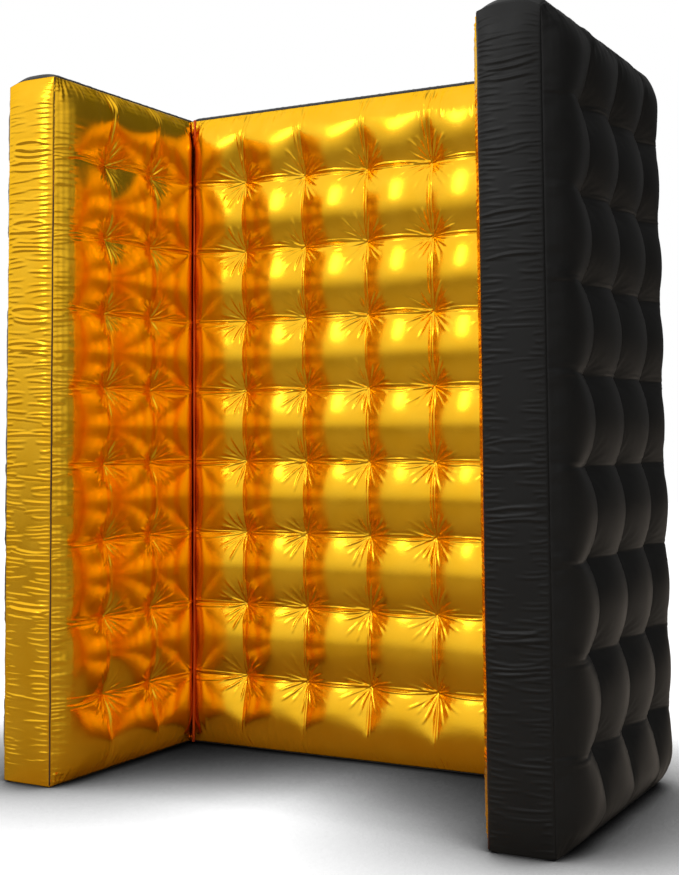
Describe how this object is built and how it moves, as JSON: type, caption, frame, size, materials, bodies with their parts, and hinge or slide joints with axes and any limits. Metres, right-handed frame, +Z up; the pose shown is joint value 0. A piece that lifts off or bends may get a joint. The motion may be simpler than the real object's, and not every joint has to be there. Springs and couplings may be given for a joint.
{
  "type": "inflatable photo booth enclosure",
  "caption": "Inflatable U-shaped photo booth wall: tufted gold cloth inside, black tufted cloth outside, with a built-in blower, deflation zip and anchor rings.",
  "frame": {"origin": "middle of the footprint on the floor, under the centre of the bounding box", "axes": "+Z up, -Y out of the open front, +X to the right for someone looking in from the front"},
  "size_m": [2.09, 1.125, 2.4197],
  "materials": {
    "gold_cloth": "metallic coated cloth, glossy, finely wrinkled",
    "black_cloth": "matt black coated cloth",
    "ground_cloth": "heavy matt coated cloth",
    "wall_webbing": "woven strap",
    "sewn_strap": "woven black strap",
    "black_plastic": "moulded, satin",
    "rotor_plastic": "moulded, satin",
    "steel": "zinc plated",
    "motor_case": "die cast, satin"
  },
  "bodies": {
    "booth": {"back_ground_cloth": "ground_cloth", "back_inner_panel": "gold_cloth", "back_outer_panel": "black_cloth", "back_strap_1": "wall_webbing", "back_strap_2": "wall_webbing", "back_strap_3": "wall_webbing", "back_strap_4": "wall_webbing", "back_strap_5": "wall_webbing", "back_top_strip": "black_cloth", "blower_clamp_ring": "black_plastic", "blower_flange": "black_plastic", "blower_housing": "black_plastic", "blower_inlet_grille": "black_plastic", "blower_screw_1": "steel", "blower_screw_2": "steel", "blower_screw_3": "steel", "blower_screw_4": "steel", "left_anchor_loop": "sewn_strap", "left_anchor_patch": "sewn_strap", "left_corner_cord": "gold_cloth", "left_corner_strap_back": "wall_webbing", "left_corner_strap_side": "wall_webbing", "left_front_gusset": "gold_cloth", "left_ground_cloth": "ground_cloth", "left_inner_panel": "gold_cloth", "left_outer_panel": "black_cloth", "left_strap_1": "wall_webbing", "left_strap_2": "wall_webbing", "left_top_strip": "black_cloth", "motor": "motor_case", "motor_mount": "black_plastic", "power_inlet_gland": "black_plastic", "right_anchor_loop": "sewn_strap", "right_anchor_patch": "sewn_strap", "right_corner_cord": "gold_cloth", "right_corner_strap_back": "wall_webbing", "right_corner_strap_side": "wall_webbing", "right_front_gusset": "black_cloth", "right_ground_cloth": "ground_cloth", "right_inner_panel": "gold_cloth", "right_outer_panel": "black_cloth", "right_strap_1": "wall_webbing", "right_strap_2": "wall_webbing", "right_top_strip": "black_cloth", "switch_frame": "black_plastic", "zip_stop_closed_end": "steel", "zip_stop_open_end": "steel", "zip_tape_lower": "sewn_strap", "zip_tape_upper": "sewn_strap", "zip_teeth": "black_plastic"},
    "fan_rotor": {"impeller": "rotor_plastic", "motor_shaft": "steel"},
    "switch_rocker": {"switch_rocker": "rotor_plastic"},
    "zip_slider": {"zip_slider": "steel", "zip_bail": "steel"},
    "zip_pull": {"zip_pull": "steel"},
    "left_anchor_ring": {"left_anchor_ring": "steel"},
    "right_anchor_ring": {"right_anchor_ring": "steel"}
  },
  "joints": [
    {"name": "impeller_spin", "type": "hinge", "parent": "booth", "child": "fan_rotor", "pos_m": [0.65, 0.495, 0.4], "axis": [0, 1, 0], "continuous": true},
    {"name": "switch_tilt", "type": "hinge", "parent": "booth", "child": "switch_rocker", "pos_m": [0.65, 0.5398, 0.416], "axis": [1, 0, 0], "range_deg": [0, 16]},
    {"name": "zip_travel", "type": "slide", "parent": "booth", "child": "zip_slider", "axis": [1, 0, 0], "range_m": [0, 0.39]},
    {"name": "zip_pull_swing", "type": "hinge", "parent": "zip_slider", "child": "zip_pull", "pos_m": [-0.71, 0.5466, 0.13333], "axis": [1, 0, 0], "range_deg": [0, 150]},
    {"name": "left_ring_swing", "type": "hinge", "parent": "booth", "child": "left_anchor_ring", "pos_m": [-0.8775, 0.5439, 0.12733], "axis": [1, 0, 0], "range_deg": [0, 120]},
    {"name": "right_ring_swing", "type": "hinge", "parent": "booth", "child": "right_anchor_ring", "pos_m": [0.8775, 0.5439, 0.12733], "axis": [1, 0, 0], "range_deg": [0, 120]}
  ]
}
